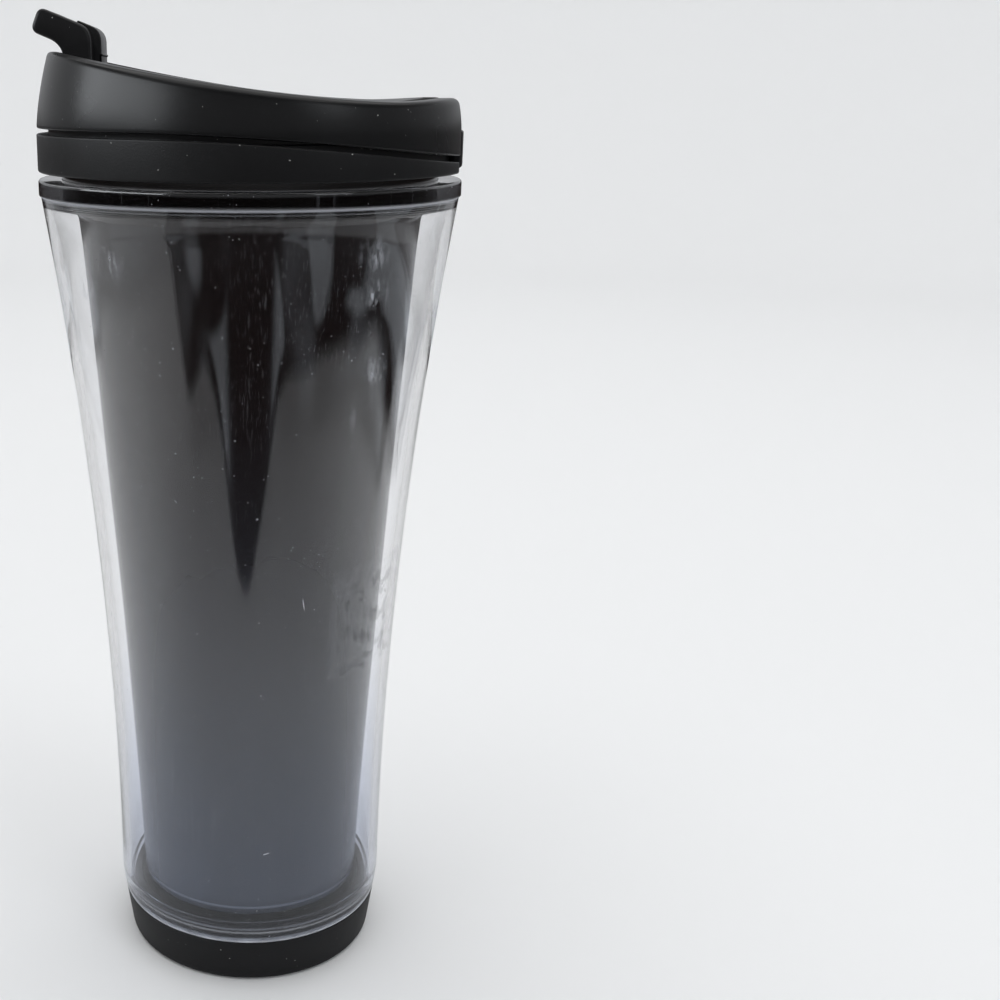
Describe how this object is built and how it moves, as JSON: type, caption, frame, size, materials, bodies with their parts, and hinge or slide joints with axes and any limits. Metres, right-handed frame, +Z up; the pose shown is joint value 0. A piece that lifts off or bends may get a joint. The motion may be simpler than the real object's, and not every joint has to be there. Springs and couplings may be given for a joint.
{
  "type": "double-wall travel coffee cup with flip lid",
  "caption": "Used double-wall clear travel cup with a dark liner, black foot and a screw lid with a flip lever.",
  "frame": {"origin": "middle of the foot's resting face, on the table", "axes": "+Z up along the cup, -X towards the drinking side and the lever's tab, +X towards the notch"},
  "size_m": [0.0888, 0.0888, 0.2107],
  "materials": {
    "clear_acrylic": "gloss",
    "dark_liner": "gloss",
    "foot_black": "matte",
    "lid_matte": "matte",
    "lid_satin": "satin",
    "lever_black": "satin",
    "soft_seal": "matte"
  },
  "bodies": {
    "cup": {"outer_shell": "clear_acrylic", "inner_liner": "dark_liner", "base_foot": "foot_black"},
    "lid": {"lid_base": "lid_matte", "lid_cap": "lid_satin", "lid_gasket": "soft_seal"},
    "lever": {"flip_lever": "lever_black", "spout_plug": "soft_seal"}
  },
  "joints": [
    {"name": "lid_lift", "type": "slide", "parent": "cup", "child": "lid", "axis": [0, 0, 1], "range_m": [0, 0.045]},
    {"name": "lever_flip", "type": "hinge", "parent": "lid", "child": "lever", "pos_m": [0.0078, 0, 0.1888], "axis": [0, 1, 0], "range_deg": [0, 170]}
  ]
}
